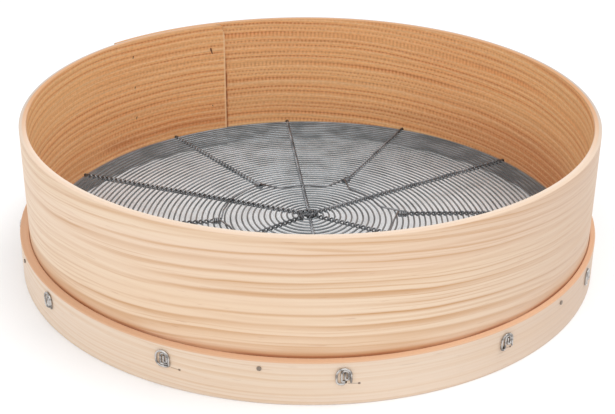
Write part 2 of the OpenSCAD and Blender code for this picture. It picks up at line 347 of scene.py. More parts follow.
def tidy_normals(mesh, sharp=35):
    """Merges doubles, turns the faces outwards and keeps corners sharper than an angle."""
    made = bmesh.new()
    made.from_mesh(mesh)
    bmesh.ops.remove_doubles(made, verts=made.verts, dist=1e-7)
    bmesh.ops.recalc_face_normals(made, faces=made.faces)
    for face in made.faces:
        face.smooth = True
    for edge in made.edges:
        edge.smooth = edge.calc_face_angle(0) < math.radians(sharp)
    made.to_mesh(mesh)
    made.free()


def turned(profile, a, z, sides=20):
    """The points of a round piece that lies along angle a at height z, turned from its
    profile: (distance from the sieve's axis, radius of the piece)."""
    circle = [2 * math.pi * i / sides for i in range(sides)]
    return [
        polar(r, half * math.cos(b), z + half * math.sin(b), a) for r, half in profile for b in circle
    ]


def plain_mesh(piece):
    """The mesh that a piece's modifiers make. The modifiers are taken off the piece."""
    bpy.context.view_layer.update()
    seen = piece.evaluated_get(bpy.context.evaluated_depsgraph_get())
    mesh = bpy.data.meshes.new_from_object(seen)
    piece.modifiers.clear()
    return mesh


def bored(piece, r1, r2, sides=20):
    """The piece with the wires' round holes through it, drilled along the radius."""
    points, faces = [], []
    for a in rib_angles:
        faces += tube_faces(2, sides, len(points))
        points += turned([(r1, wire_hole_d / 2), (r2, wire_hole_d / 2)], a, wire_hole_z, sides)
    drill_mesh = bpy.data.meshes.new("drill")
    drill_mesh.from_pydata(points, [], faces)
    tidy_normals(drill_mesh)
    drill = placed("drill", drill_mesh)
    cut = piece.modifiers.new("holes", "BOOLEAN")
    cut.operation = "DIFFERENCE"
    cut.solver = "EXACT"
    cut.object = drill
    mesh = plain_mesh(piece)
    old, piece.data = piece.data, mesh
    bpy.data.meshes.remove(old)
    bpy.data.objects.remove(drill)
    bpy.data.meshes.remove(drill_mesh)


def mark_grain(mesh, faces, lap_a1, lap_a2, seam):
    """Stores where each point lies in the flat strip: along it, its height, and its depth
    from 0 on the inner face to 1 on the outer one."""
    grain = mesh.attributes.new("grain", "FLOAT_VECTOR", "POINT")
    places = []
    for vertex in mesh.vertices:
        x, y, z = vertex.co
        r = math.hypot(x, y)
        a = math.degrees(math.atan2(y, x)) % 360
        on_outer_end = a < lap_a2 + slack_a and r > seam(min(max(a, lap_a1), lap_a2))
        if a < lap_a1 - slack_a or on_outer_end:
            a += 360
        inner, outer = faces(a)
        places += [math.radians(a - lap_a1) * rim_r, z, (r - inner) / (outer - inner)]
    grain.data.foreach_set("vector", places)


rim_mesh = bent_strip(
    "rim_hoop_bent", rim_faces, rim_lap_a1, rim_lap_a2 + 360, rim_h, rim_edge_r,
)

# the inner end has its top corner rounded off
for vertex in rim_mesh.vertices:
    x, y, z = vertex.co
    a = math.degrees(math.atan2(y, x)) % 360
    r = math.hypot(x, y)
    if rim_lap_a1 - slack_a < a < rim_lap_a1 + rim_corner_reach_a and r < rim_seam(a):
        along = math.radians(a - rim_lap_a1) * rim_r
        drop = max(0, z - (rim_h - rim_corner_r))
        back = rim_corner_r - math.sqrt(max(0, rim_corner_r ** 2 - drop ** 2))
        moved = along + back * max(0, 1 - along / (3 * rim_corner_r))
        vertex.co = polar(r, 0, z, rim_lap_a1 + math.degrees(moved / rim_r))

rim_hoop = placed("rim_hoop_bent", rim_mesh)
bored(rim_hoop, rim_drill_r1, rim_drill_r2)
tidy_normals(rim_hoop.data)
mark_grain(rim_hoop.data, rim_faces, rim_lap_a1, rim_lap_a2, rim_seam)


class Board:
    """Planed pine, as the flat board that a bent strip was sawn from. It holds a place's
    distance along and up the board, its depth from the inner face, the number of its year,
    and the wood's patterns there, from 0 to 1. The strip starts at the angle start_a. Its
    years are ring_w wide and arch up by arch_h."""

    def __init__(self, name, height, start_a, ring_w, arch_h, seed):
        self.material = new_material(name)
        self.tree = self.material.node_tree
        self.height = height
        self.seed = seed
        place = node(self.tree, "ShaderNodeAttribute", {"attribute_name": "grain"}, out="Vector")
        parts = node(self.tree, "ShaderNodeSeparateXYZ", None, {0: place}).socket.node.outputs
        self.along, self.up, self.depth = (Shade(self.tree, part) for part in parts)
        self.outside = self.depth.rise(0.3, 0.7)
        self.inside = 1 - self.outside
        self.past_front = self.along - math.radians(front_a - start_a) * rim_r
        self.grow_rings(ring_w, arch_h)
        self.grow_fibres()
        self.bend()

    def noise(self, x, y, z, detail=2.0, rough=0.5):
        """Soft noise about 0.5, whose blotches are about 1 across in the numbers given."""
        spot = node(self.tree, "ShaderNodeCombineXYZ", None, {0: x, 1: y, 2: z})
        return node(
            self.tree, "ShaderNodeTexNoise", {"noise_dimensions": "3D"},
            {"Vector": spot, "Scale": 1.0, "Detail": detail, "Roughness": rough},
        )

    def blotches(self, per_m, per_m_up, layer, detail=2.0):
        """Noise with so many blotches to a metre along the board, and so many up it."""
        return self.noise(self.along * per_m, self.up * per_m_up, self.seed + layer, detail)

    def grow_rings(self, ring_w, arch_h):
        """The late wood of each year, a band that ends in a thin line. The years are counted
        up the board. They arch along the outer face, climb along the inner one, wander, and
        vary in width and strength."""
        wander = (self.blotches(3.1, 4.0, 0) - 0.5) * grain_wander_h
        waver = (self.blotches(13, 26, 3) - 0.5) * grain_waver_h
        arch = ((self.along - grain_crest_l) * grain_arch_rate).cosine() * self.outside * arch_h
        climb = self.along.rise(700 * MM, 1350 * MM) * self.inside * grain_climb_h
        years = (self.up + wander + waver - (arch + climb) + self.depth * grain_slant_h) / ring_w
        years = years + (self.noise(years * 0.83, self.along * 0.6, self.seed + 5, 1.0) - 0.5) * 1.3
        years = years * (1 + self.inside * 0.31)
        self.season = years.fraction()
        self.year = years.whole()
        strength = self.noise(self.year * 3.71, self.along * 4.3, self.seed + 9, 1.0)
        strength = strength.rise(0.3, 0.7) * 0.85 + 0.15
        self.late = self.season.rise(0.30, 0.66) * (1 - self.season.rise(0.70, 0.98)) * strength
        self.thin = self.season.rise(0.58, 0.68) * (1 - self.season.rise(0.70, 0.84)) * strength
        between = (years * 2.3 + self.blotches(4, 40, 13) * 3).fraction()
        between = 1 - (between - 0.5).size().rise(0.04, 0.2)
        self.between = between * self.blotches(5, 75, 15).rise(0.38, 0.6)

    def grow_fibres(self):
        """The finer marks: streaks, fibres, pores, and broad paler and pinker fields."""
        self.streak = self.blotches(7, 420, 1).rise(0.42, 0.72)
        self.fibre = self.noise(self.along * 34, self.up * 1500, self.depth * 6 + self.seed, 3.0, 0.6)
        self.pores = self.blotches(60, 900, 31, 1.0).rise(0.68, 0.8)
        self.broad = self.blotches(5, 14, 17).rise(0.36, 0.66)
        self.blush = self.blotches(2.2, 30, 23).rise(0.40, 0.66)

    def bend(self):
        """The ripple that bending left on the inner face: squeezed fibres in upright waves,
        strongest at the back and beside the lap, and set off from one year to the next."""
        sway = (self.blotches(40, 70, 41) - 0.5) * 2.6
        ripple = (self.along * (2 * math.pi / ripple_l) + sway + self.year * 2.4).sine() * 0.5 + 0.5
        at_back = self.along.rise(920 * MM, 1100 * MM)
        by_lap = 1 - self.along.rise(100 * MM, 220 * MM)
        squeezed = at_back * 0.62 + by_lap * 0.3 + 0.28
        row = (1 - (self.season - 0.62).size().rise(0.02, 0.34)) * squeezed
        row = row * (self.blotches(11, 38, 43).rise(0.32, 0.66) * 0.6 + 0.4)
        # the two sides of each ripple along a year's line: the shaded side for painted shade and the
        # lit side, the glints, for painted highlight on the inner face
        self.ripple = ripple * squeezed
        self.ripple_shade = row * ripple.rise(0.45, 0.9)
        self.glints = row * (1 - ripple).rise(0.45, 0.9)

    def outer_face(self, shades):
        """The outer face: cream with tan late wood, paler to the left and duller to the right,
        and warmest where the years arch highest."""
        colour = blended(self.broad * 0.5 + self.late * 0.25, shades["cream"], shades["peach"])
        colour = blended(self.blush * 0.25, colour, shades["pink"])
        off_crest = (self.along - grain_crest_l).size()
        warm = (1 - off_crest.rise(54.5 * MM, 291 * MM)) * 0.5 + 0.5
        tan = (self.late * 0.66 + self.between * 0.56) * warm + self.late * 0.1
        colour = blended(tan, colour, shades["tan"])
        colour = blended(self.thin * 0.12, colour, shades["line"])
        colour = blended(self.past_front.rise(30 * MM, 220 * MM) * 0.6, colour, shades["dull"])
        to_left = 1 - self.past_front.rise(-240 * MM, -40 * MM)
        return blended(to_left * 0.25, colour, shades["pale"])

    def inner_face(self, shades):
        """The inner face: a deeper tan, redder low down and at the back, and mottled."""
        smudge = self.blotches(14, 45, 73, 3.0).rise(0.52, 0.72)
        low = 1 - self.up.rise(20 * MM, 75 * MM)
        ends = 1 - (self.along - 920 * MM).size().rise(20 * MM, 220 * MM)
        ends = ends + (1 - self.along.rise(100 * MM, 200 * MM)) * smudge
        early = 1 - (self.season - 0.25).size().rise(0.0, 0.2)
        mottle = self.blotches(300, 620, 59).rise(0.4, 0.66)
        sparks = self.blotches(380, 760, 79, 1.0).rise(0.5, 0.75)
        colour = blended(
            self.late * 0.85 + self.broad * 0.25, shades["inside"], shades["inside_tan"],
        )
        red = low * (self.blush * 0.4 + ends * 0.4) + low * 0.1
        colour = blended(red, colour, shades["inside_red"])
        # painted highlight on the ripple's lit sides, with early wood and pale specks
        pale = early * 0.45 + self.glints * 0.25 + sparks * 0.3
        colour = blended(pale, colour, shades["inside_pale"])
        # painted shade on the ripple's shaded sides, with late lines, pores and mottle
        dark = self.thin * 0.3 + self.between * 0.14 + self.ripple_shade * 0.25
        dark = dark + self.ripple * 0.06 + mottle * 0.14
        return blended(dark, colour, shades["inside_dark"])

    def faces(self, shades):
        """Both faces, with the finer marks on them."""
        colour = blended(self.inside, self.outer_face(shades), self.inner_face(shades))
        colour = blended(self.streak * 0.2, colour, shades["tan"])
        colour = blended(self.fibre.rise(0.5, 0.85) * 0.2, colour, shades["cream"])
        return blended(self.pores * 0.25, colour, shades["inside_dark"])

    def sawn_edge(self, colour, shades, painted_light_colour=None):
        """The sawn upper edge. Where a painted light colour is given, the edge takes it away from the
        front: painted shade on the back half.
        """
        waver = self.noise(self.along * 8, self.depth * 2, self.seed + 47) - 0.5
        outer_part = (self.depth + waver * 0.5).rise(0.35, 0.75)
        sawn = blended(outer_part * 0.5, shades["edge"], shades["edge_tan"])
        # painted shade: away from the front the edge takes the darker colour given
        if painted_light_colour:
            sawn = blended(self.facing_front(), painted_light_colour, sawn)
        sawn = blended(self.streak * 0.2 + self.pores * 0.2, sawn, shades["tan"])
        on_edge = self.up.rise(self.height - 1.1 * MM, self.height - 0.5 * MM)
        return blended(on_edge * 0.95, colour, sawn)

    def facing_front(self):
        """1 on the half of the hoop that faces the front, falling to 0 towards the back."""
        return (self.past_front / rim_r).cosine().rise(-0.1, 0.6)

    def finish(self, colour, rough):
        """The material: the colour, with the relief of late wood, fibres and ripple."""
        relief = self.late * 0.12 + self.fibre * 0.2
        relief = relief + (self.ripple * 0.5 + self.ripple_shade * -0.5) * self.inside
        bump = node(self.tree, "ShaderNodeBump", None, {
            "Strength": 0.6, "Distance": 0.5 * MM, "Height": relief,
        })
        surface = node(self.tree, "ShaderNodeBsdfPrincipled", None, {
            "Base Color": colour,
            "Roughness": self.late * -0.1 + self.fibre * 0.12 + rough,
            "Specular IOR Level": 0.3,
            "Normal": bump,
        })
        node(self.tree, "ShaderNodeOutputMaterial", None, {"Surface": surface})
        return self.material


def rim_marks_and_painted_light(board, colour, shades):
    """The rim's own marks and painted light: a warmer foot and brow outside; painted shade on the
    back half of the upper edge, in the corner above the foot band and along that joint; and inside, a
    painted highlight on the strip's thin inner end, a painted shadow in the step beside it, and
    painted shade below the screen."""
    along, up, inside, outside = board.along, board.up, board.inside, board.outside
    foot = 1 - up.rise(36 * MM, 41 * MM)
    foot = foot * board.noise(along * 6, 0.5, board.seed + 71).rise(0.3, 0.5)
    brow = up.rise(101.5 * MM, 105.5 * MM) * board.facing_front()
    colour = blended(outside * brow * 0.15 + outside * foot * 0.5, colour, shades["tan"])

    # painted shade: the upper edge is painted darker and greyer away from the front, for the light
    # that falls on it there
    painted_light_colour = blended(board.depth.rise(0.45, 0.7), shades["edge_back"], shades["edge_grey"])
    colour = board.sawn_edge(colour, shades, painted_light_colour)

    # painted shade in the corner above the foot band, darker in patches, and a painted shadow line
    # along the joint just above the band's top edge
    corner_shade_mask = outside * (1 - up.rise(30.5 * MM, 35 * MM)) * up.rise(28.5 * MM, 29.5 * MM)
    corner_shade_mask = corner_shade_mask * (board.blotches(17, 90, 53) * 0.7 + 0.3) * along.rise(200 * MM, 360 * MM)
    colour = blended(corner_shade_mask * 0.75, colour, shades["corner_shade_colour"])
    line = outside * (1 - up.rise(30.6 * MM, 31.8 * MM))
    line = line * board.blotches(23, 90, 61).rise(0.3, 0.6) * along.rise(260 * MM, 400 * MM)
    colour = blended(line * 0.6, colour, shades["inside_dark"])

    # painted highlight: the last 1.8 mm of the strip's thin inner end is painted pale, as its end
    # catches the light
    end_highlight = inside * (1 - along.rise(1.0 * MM, 1.8 * MM))
    colour = blended(end_highlight * 0.65, colour, shades["inside_pale"])
    once_round = 2 * math.pi * rim_r
    # painted shadow: a dark line on the inner face in the step beside the strip's thin inner end,
    # broken in patches and only on the lower part
    step_shadow = inside * (1 - (along - once_round).size().rise(1.2 * MM, 3.0 * MM))
    step_shadow = step_shadow * board.blotches(5, 130, 67).rise(0.28, 0.5) * (1 - up.rise(70 * MM, 85 * MM))
    colour = blended(step_shadow * 0.95, colour, shades["inside_dark"])
    # painted shade: the inner face below the screen is painted grey, where it lies in the shade of
    # the screen and the hoop
    film_and_painted_shade = inside * (1 - up.rise(14.5 * MM, 16.5 * MM))
    return blended(film_and_painted_shade * 0.9, colour, shades["film_and_painted_shade"])


rim_shades = {
    "cream": rgb(241, 216, 188), "peach": rgb(236, 203, 169), "pink": rgb(235, 203, 182),
    "tan": rgb(208, 160, 114), "line": rgb(172, 122, 80), "pale": rgb(243, 226, 206),
    "dull": rgb(206, 180, 160),
    "inside": rgb(255, 200, 138), "inside_tan": rgb(245, 161, 97),
    "inside_dark": rgb(160, 87, 46), "inside_pale": rgb(255, 218, 172),
    "inside_red": rgb(206, 124, 74),
    "edge": rgb(238, 218, 198), "edge_tan": rgb(228, 194, 162),
    "edge_back": rgb(212, 160, 116), "edge_grey": rgb(200, 186, 174),
    # the last two colours: painted shade in the corner above the foot band, and painted shade below
    # the screen
    "corner_shade_colour": rgb(196, 134, 86), "film_and_painted_shade": rgb(126, 133, 138),
}
rim_board = Board("rim_pine", rim_h, rim_lap_a1, ring_w=6.7 * MM, arch_h=20 * MM, seed=4.0)
rim_colour = rim_marks_and_painted_light(rim_board, rim_board.faces(rim_shades), rim_shades)
rim_hoop.data.materials.clear()
rim_hoop.data.materials.append(rim_board.finish(rim_colour, rough=0.52))
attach(rim_hoop, "root")
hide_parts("rim_hoop")


# The foot band: a second, lower strip of paler pine bent round the bottom of the rim, a hair's
# breadth off it. It follows the bulge of the rim's lap at the back left and has its own lap at
# the back right. Nails and the wires' curls hold it on.
band_h = 30 * MM
band_in_r = 200.15 * MM
band_out_r = 205.3 * MM
band_tip_t = 2.5 * MM
band_lean = 1.3 * MM
band_edge_r = 0.8 * MM
band_lap_half_l = 35 * MM
band_lap_mid_a = 51
band_lap_a1 = band_lap_mid_a - math.degrees(band_lap_half_l / rim_r)
band_lap_a2 = band_lap_mid_a + math.degrees(band_lap_half_l / rim_r)
band_bridge_l = 80 * MM
band_bridge_a = rim_lap_a2 + math.degrees(band_bridge_l / rim_r)
band_drill_r1 = 198.5 * MM
band_drill_r2 = 212 * MM
split_z = 15 * MM
split_fall = 0.06
split_starts_past = 1.5 * MM
split_lengths = {246: 6.0 * MM, 276: 7.0 * MM, 306: 3.5 * MM}


def rim_bulge(a):
    """How far the lap of the rim pushes the foot band outwards at an angle."""
    if rim_lap_a1 < a <= rim_lap_a2:
        return taper(a, rim_lap_a1, rim_lap_a2, rim_r, rim_r + rim_tip_t) - rim_r
    if rim_lap_a2 < a < band_bridge_a:
        return taper(a, rim_lap_a2, band_bridge_a, rim_r + rim_tip_t, rim_r) - rim_r
    return 0


def lean(a):
    """How much thicker the band is at an angle: proud at the left, planed thinner at the right."""
    return -band_lean * math.cos(math.radians(a))


def band_seam(a):
    """Radius at which the band's two ends meet in its lap, at angle a, before it leans."""
    return taper(a, band_lap_a1, band_lap_a2, band_in_r + band_tip_t, band_out_r)


def band_faces(a):
    """Radii of the band's two faces, counted round from the inner end of its lap."""
    if a <= band_lap_a2:
        return band_in_r, band_seam(a) - rim_ply_gap / 2 + lean(a)
    if a <= band_lap_a1 + 360:
        return band_in_r + rim_bulge(a), band_out_r + rim_bulge(a) + lean(a)
    inner = band_seam(a - 360) + rim_ply_gap / 2
    outer = taper(a - 360, band_lap_a1, band_lap_a2, band_out_r, band_out_r + band_tip_t)
    return inner + lean(a), outer + lean(a)


def band_splits(board, colour, shades):
    """Fine splits in the band. Each is a thin line from a curl to a small dark pit."""
    for a, length in split_lengths.items():
        start = math.radians(a - band_lap_a1) * rim_r + split_starts_past
        end = start + length
        off = (board.up - split_z + (board.along - start) * split_fall).size()
        thread = (1 - off.rise(0.1 * MM, 0.4 * MM)) * board.along.rise(start, start + 0.4 * MM)
        thread = thread * (1 - board.along.rise(end - 0.6 * MM, end))
        pit = 1 - (board.along - end).size().rise(0.4 * MM, 0.9 * MM)
        pit = pit * (1 - off.rise(0.4 * MM, 0.9 * MM))
        colour = blended(thread * 0.5 + pit * 0.85, colour, shades["pit"])
    return colour


foot_band = placed("foot_band_bent", bent_strip(
    "foot_band_bent", band_faces, band_lap_a1, band_lap_a2 + 360, band_h, band_edge_r, rows=7,
))
bored(foot_band, band_drill_r1, band_drill_r2)
tidy_normals(foot_band.data)
mark_grain(
    foot_band.data, band_faces, band_lap_a1, band_lap_a2, lambda a: band_seam(a) + lean(a),
)
band_shades = {
    "cream": rgb(236, 216, 196), "peach": rgb(232, 208, 181), "pink": rgb(229, 205, 188),
    "tan": rgb(222, 188, 153), "line": rgb(200, 164, 132), "pale": rgb(243, 226, 208),
    "dull": rgb(208, 184, 166),
    "inside": rgb(236, 180, 124), "inside_tan": rgb(218, 154, 98),
    "inside_dark": rgb(150, 96, 56), "inside_pale": rgb(250, 212, 164),
    "inside_red": rgb(206, 132, 82),
    "edge": rgb(228, 185, 150), "edge_tan": rgb(214, 164, 126), "pit": rgb(92, 66, 50),
}
band_board = Board("band_pine", band_h, band_lap_a1, ring_w=5.1 * MM, arch_h=4 * MM, seed=23.0)
band_colour = band_board.sawn_edge(band_board.faces(band_shades), band_shades)
band_colour = band_splits(band_board, band_colour, band_shades)
foot_band.data.materials.clear()
foot_band.data.materials.append(band_board.finish(band_colour, rough=0.55))
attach(foot_band, "root")
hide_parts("foot_band")


# The spiral wire: hard drawn steel wire wound from the hub to the rim in 46 turns, 4.14 mm
# apart. It lies on a shallow cone that rises towards the middle of the screen.
wire_d = 1.3 * MM
wire_sides = 8
turn_pitch = 4.14 * MM
turn_points = 132
hub_r = 2 * MM
turns = 46
last_turn_r = hub_r + turns * turn_pitch
spring = 0.5 * MM
springs_per_m = 22.0
screen_r = 193 * MM
screen_z = wire_hole_z
crown_h = 6.5 * MM


def screen_height(r):
    """Height of the cone on which the spiral lies, at a distance from the axis."""
    return screen_z + crown_h * max(0.0, 1 - r / screen_r)


def node_group(name, inputs):
    """A Geometry Nodes tree, and its inputs by name. An input is given as the kind of socket."""
    group = bpy.data.node_groups.new(name, "GeometryNodeTree")
    group.interface.new_socket("Geometry", in_out="INPUT", socket_type="NodeSocketGeometry")
    for label, kind in inputs.items():
        group.interface.new_socket(label, in_out="INPUT", socket_type="NodeSocket" + kind)
    group.interface.new_socket("Geometry", in_out="OUTPUT", socket_type="NodeSocketGeometry")
    start = group.nodes.new("NodeGroupInput")
    sources = {socket.name: Shade(group, socket) for socket in start.outputs if socket.name}
    return group, sources


def grown(group, name, base, values):
    """Runs a Geometry Nodes tree on an object and returns the result as a plain piece."""
    piece = placed(name, base)
    step = piece.modifiers.new(name, "NODES")
    step.node_group = group
    for item in group.interface.items_tree:
        if item.in_out == "INPUT" and item.name in values:
            step[item.identifier] = values[item.name]
    mesh = plain_mesh(piece)
    bpy.data.objects.remove(piece)
    mesh.name = name
    return placed(name, mesh)


def swept(group, path, diameter, sides, finish):
    """The nodes that carry a round section along a path and give it its finish."""
    ring = node(group, "GeometryNodeCurvePrimitiveCircle", {"mode": "RADIUS"}, {
        "Resolution": sides, "Radius": diameter / 2,
    })
    tube = node(group, "GeometryNodeCurveToMesh", None, {
        "Curve": path, "Profile Curve": ring, "Fill Caps": True,
    })
    tube = node(group, "GeometryNodeSetShadeSmooth", None, {0: tube, "Shade Smooth": True})
    tube = node(group, "GeometryNodeRealizeInstances", None, {0: tube})
    tube = node(group, "GeometryNodeSetMaterial", None, {"Geometry": tube, "Material": finish})
    node(group, "NodeGroupOutput", None, {0: tube})


def steel(name, bright, dull, rough, seed, metallic=0.8, painted_highlight_colours=None):
    """Bare steel: bright, with a dull film in patches, and fine specks in its sheen. Where painted
    highlight colours are given, the wire outside the sieve is painted brighter, in a mottle of
    painted highlight and painted shade."""
    material = new_material(name)
    tree = material.node_tree
    place = node(tree, "ShaderNodeTexCoord", out="Object")

    def blotches(per_m, detail=2.0):
        """Noise with so many blotches to a metre."""
        moved = node(
            tree, "ShaderNodeVectorMath", {"operation": "ADD"}, {0: place, 1: (seed, seed, seed)},
        )
        return node(
            tree, "ShaderNodeTexNoise", None, {"Vector": moved, "Scale": per_m, "Detail": detail},
        )

    # a dull film in random patches, the steel's own colour
    film_and_painted_shade = blotches(55, 3.0).rise(0.35, 0.68)
    specks = blotches(900)
    colour = blended(film_and_painted_shade * 0.8 + specks * 0.2, bright, dull)
    if painted_highlight_colours:
        flat = node(
            tree, "ShaderNodeVectorMath", {"operation": "MULTIPLY"}, {0: place, 1: (1, 1, 0)},
        )
        out = node(tree, "ShaderNodeVectorMath", {"operation": "LENGTH"}, {0: flat}, out="Value")
        # painted highlight: on the band's face the wire is painted brighter and made less rough,
        # mottled between a lit and a darker colour
        outside = out.rise(203.5 * MM, 205.5 * MM)
        painted_light_colour = blended(blotches(330).rise(0.40, 0.66), *painted_highlight_colours)
        colour = blended(outside * 0.9, colour, painted_light_colour)
        rough = rough - outside * 0.12
    bump = node(tree, "ShaderNodeBump", None, {
        "Strength": 0.25, "Distance": 0.1 * MM, "Height": specks + film_and_painted_shade * 0.5,
    })
    surface = node(tree, "ShaderNodeBsdfPrincipled", None, {
        "Base Color": colour, "Metallic": metallic,
        "Roughness": film_and_painted_shade * 0.12 + specks * 0.1 + rough, "Normal": bump,
    })
    node(tree, "ShaderNodeOutputMaterial", None, {"Surface": surface})
    return material


spiral_steel = steel(
    "spiral_steel", rgb(146, 152, 156), rgb(104, 110, 113), rough=0.30, seed=2.0, metallic=0.85,
)
spiral_group, given = node_group("spiral_of_wire", {
    "Turns": "Float", "Points in a turn": "Int", "Hub radius": "Float", "Last radius": "Float",
    "Fall": "Float", "Hub height": "Float", "Unevenness": "Float", "Wire diameter": "Float",
    "Sides": "Int",
})
path = node(spiral_group, "GeometryNodeCurveSpiral", None, {
    "Resolution": given["Points in a turn"], "Rotations": given["Turns"],
    "Start Radius": given["Hub radius"], "End Radius": given["Last radius"],
    "Height": given["Fall"],
})
waver = node(
    spiral_group, "ShaderNodeTexNoise", None, {"Scale": springs_per_m, "Detail": 1.0}, out=1,
)
waver = node(
    spiral_group, "ShaderNodeVectorMath", {"operation": "SUBTRACT"}, {0: waver, 1: (0.5, 0.5, 0.5)},
)
waver = node(spiral_group, "ShaderNodeVectorMath", {"operation": "SCALE"}, {
    0: waver, "Scale": given["Unevenness"],
})
lifted = node(spiral_group, "ShaderNodeCombineXYZ", None, {2: given["Hub height"]})
shift = node(spiral_group, "ShaderNodeVectorMath", {"operation": "ADD"}, {0: waver, 1: lifted})
path = node(spiral_group, "GeometryNodeSetPosition", None, {"Geometry": path, "Offset": shift})
swept(spiral_group, path, given["Wire diameter"], given["Sides"], spiral_steel)

spiral_wire = grown(spiral_group, "spiral_wire_wound", bpy.data.meshes.new("start"), {
    "Turns": float(turns), "Points in a turn": turn_points, "Hub radius": hub_r,
    "Last radius": last_turn_r, "Fall": screen_height(last_turn_r) - screen_height(hub_r),
    "Hub height": screen_height(hub_r), "Unevenness": spring, "Wire diameter": wire_d,
    "Sides": wire_sides,
})
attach(spiral_wire, "root")
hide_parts("spiral_wire_1", "spiral_wire_2", "spiral_wire_3")


# The long rib wires: six U-shaped wires that bind the spiral's turns. Each runs in along one
# long rib, passes beside the hub and runs out along the next one, so each rib is a twisted
# pair. The ends go out through the wood and close in curls on the face of the foot band.
wire_gap = 0.1 * MM
lift = wire_d + wire_gap
first_long_a = first_rib_a + rib_step_a
long_step_a = 2 * rib_step_a
rib_side = 0.85 * MM
twist_steps = 6
hub_split_r = 4.6 * MM
hub_bow_rs = [2.9 * MM, 4.8 * MM]
hub_bow_half_l = 1.6 * MM
hub_wraps = 2
first_gap_r = 4 * MM
wrap_pitch = 1.5 * MM
wrap_r = 2.0 * MM
wrap_steps = 8
lead_bend_r = 6 * MM
cross_half_l = 1 * MM
cross_bend_r = 3 * MM

# the curls: one strand of each pair makes a ring, and the other is folded up inside it. At the
# front each ring reaches its own way to the left of the hole.
curl_w = 8.7 * MM
curl_h = 10.4 * MM
curl_left_l = 5.8 * MM
curl_left_ls = {216: 4.6 * MM, 246: 7.6 * MM, 276: 5.0 * MM, 306: 3.4 * MM}
curl_tail_l = 0.9 * MM
curl_bend_r = 1.3 * MM
ring_proud = 0.15 * MM
fold_slot_l = 3.1 * MM
fold_in_l = 1.42 * MM
fold_bend_r = 1 * MM
fold_tip_r = 0.7 * MM
strand_off_z = 0.72 * MM

# the rib wires' curls on the band's face get painted highlight colours
rib_steel = steel(
    "rib_steel", rgb(146, 149, 153), rgb(86, 89, 93), rough=0.32, seed=7.0,
    painted_highlight_colours=(rgb(206, 203, 200), rgb(134, 129, 125)),
)
wire_group, given = node_group("wire_on_a_path", {"Wire diameter": "Float", "Sides": "Int"})
swept(wire_group, given["Geometry"], given["Wire diameter"], given["Sides"], rib_steel)


def gap_radius(r, a):
    """Middle of the gap between two turns of the spiral at angle a, nearest to r."""
    first = hub_r + turn_pitch * (0.5 + a / 360)
    return first + turn_pitch * round((r - first) / turn_pitch)


def rounded(points, radii, step_a=10, least_a=3):
    """A path through corner points, each turned in an arc of its own radius, or of the widest
    that has room. Corners under the least angle stay sharp."""
    path = [points[0]]
    for before, here, after, radius in zip(points, points[1:], points[2:], radii[1:]):
        u = (here - before).normalized()
        v = (after - here).normalized()
        turn = u.angle(v)
        if turn < math.radians(least_a):
            path.append(here)
            continue
        room = min((here - before).length, (after - here).length) * 0.499
        run = min(radius * math.tan(turn / 2), room)
        r = run / math.tan(turn / 2)
        n = (v - u * v.dot(u)).normalized()
        centre = here - u * run + n * r
        count = max(2, math.ceil(math.degrees(turn) / step_a))
        for j in range(count + 1):
            b = turn * j / count
            path.append(centre - n * (r * math.cos(b)) + u * (r * math.sin(b)))
    path.append(points[-1])
    return path


def last_crossing(a):
    """Radius at which the last full turn of the spiral crosses angle a."""
    return hub_r + turn_pitch * (turns - 1 + (a % 360) / 360)


def band_face(a):
    """Radius of the foot band's outer face at an angle."""
    a = a % 360
    own = 0
    if band_lap_a1 < a < band_lap_a2:
        own = taper(a, band_lap_a1, band_lap_a2, band_out_r, band_out_r + band_tip_t) - band_out_r
    return band_out_r + rim_bulge(a) + own + lean(a)


def twisted_leg(a, side, split_r, wraps, on_top):
    """One strand of a rib from its split outwards, on top of the last turn for side 1. It
    swaps sides with its partner between every two turns, as two twisted wires do, and
    where they part the strand of side -1 is wrapped round the other. A strand that has to
    leave on top and ends beneath goes round by another half turn."""
    last = last_crossing(a)
    count = int((last - split_r) / turn_pitch)
    if on_top and side > 0 and count % 2:
        count += 1
    path = []
    for i in range(count * twist_steps, -1, -1):
        r = last - turn_pitch * i / twist_steps
        turned_by = math.pi * (last - r) / turn_pitch
        z = screen_height(r) + side * lift * math.cos(turned_by)
        path.append(polar(r, side * rib_side * math.sin(turned_by), z, a))
    ends_on = (1 if count % 2 == 0 else -1) * side
    if side > 0:
        return path, ends_on

    half_more = on_top and ends_on < 0
    inner_r = last - turn_pitch * count
    wrap = []
    for i in range(wraps * wrap_steps + half_more * wrap_steps // 2, 0, -1):
        b = 2 * math.pi * i / wrap_steps
        r = inner_r - wrap_pitch * i / wrap_steps
        z = screen_height(r) + ends_on * wrap_r * math.cos(b)
        wrap.append(polar(r, wrap_r * math.sin(b), z, a))
    return wrap + path, -ends_on if half_more else ends_on


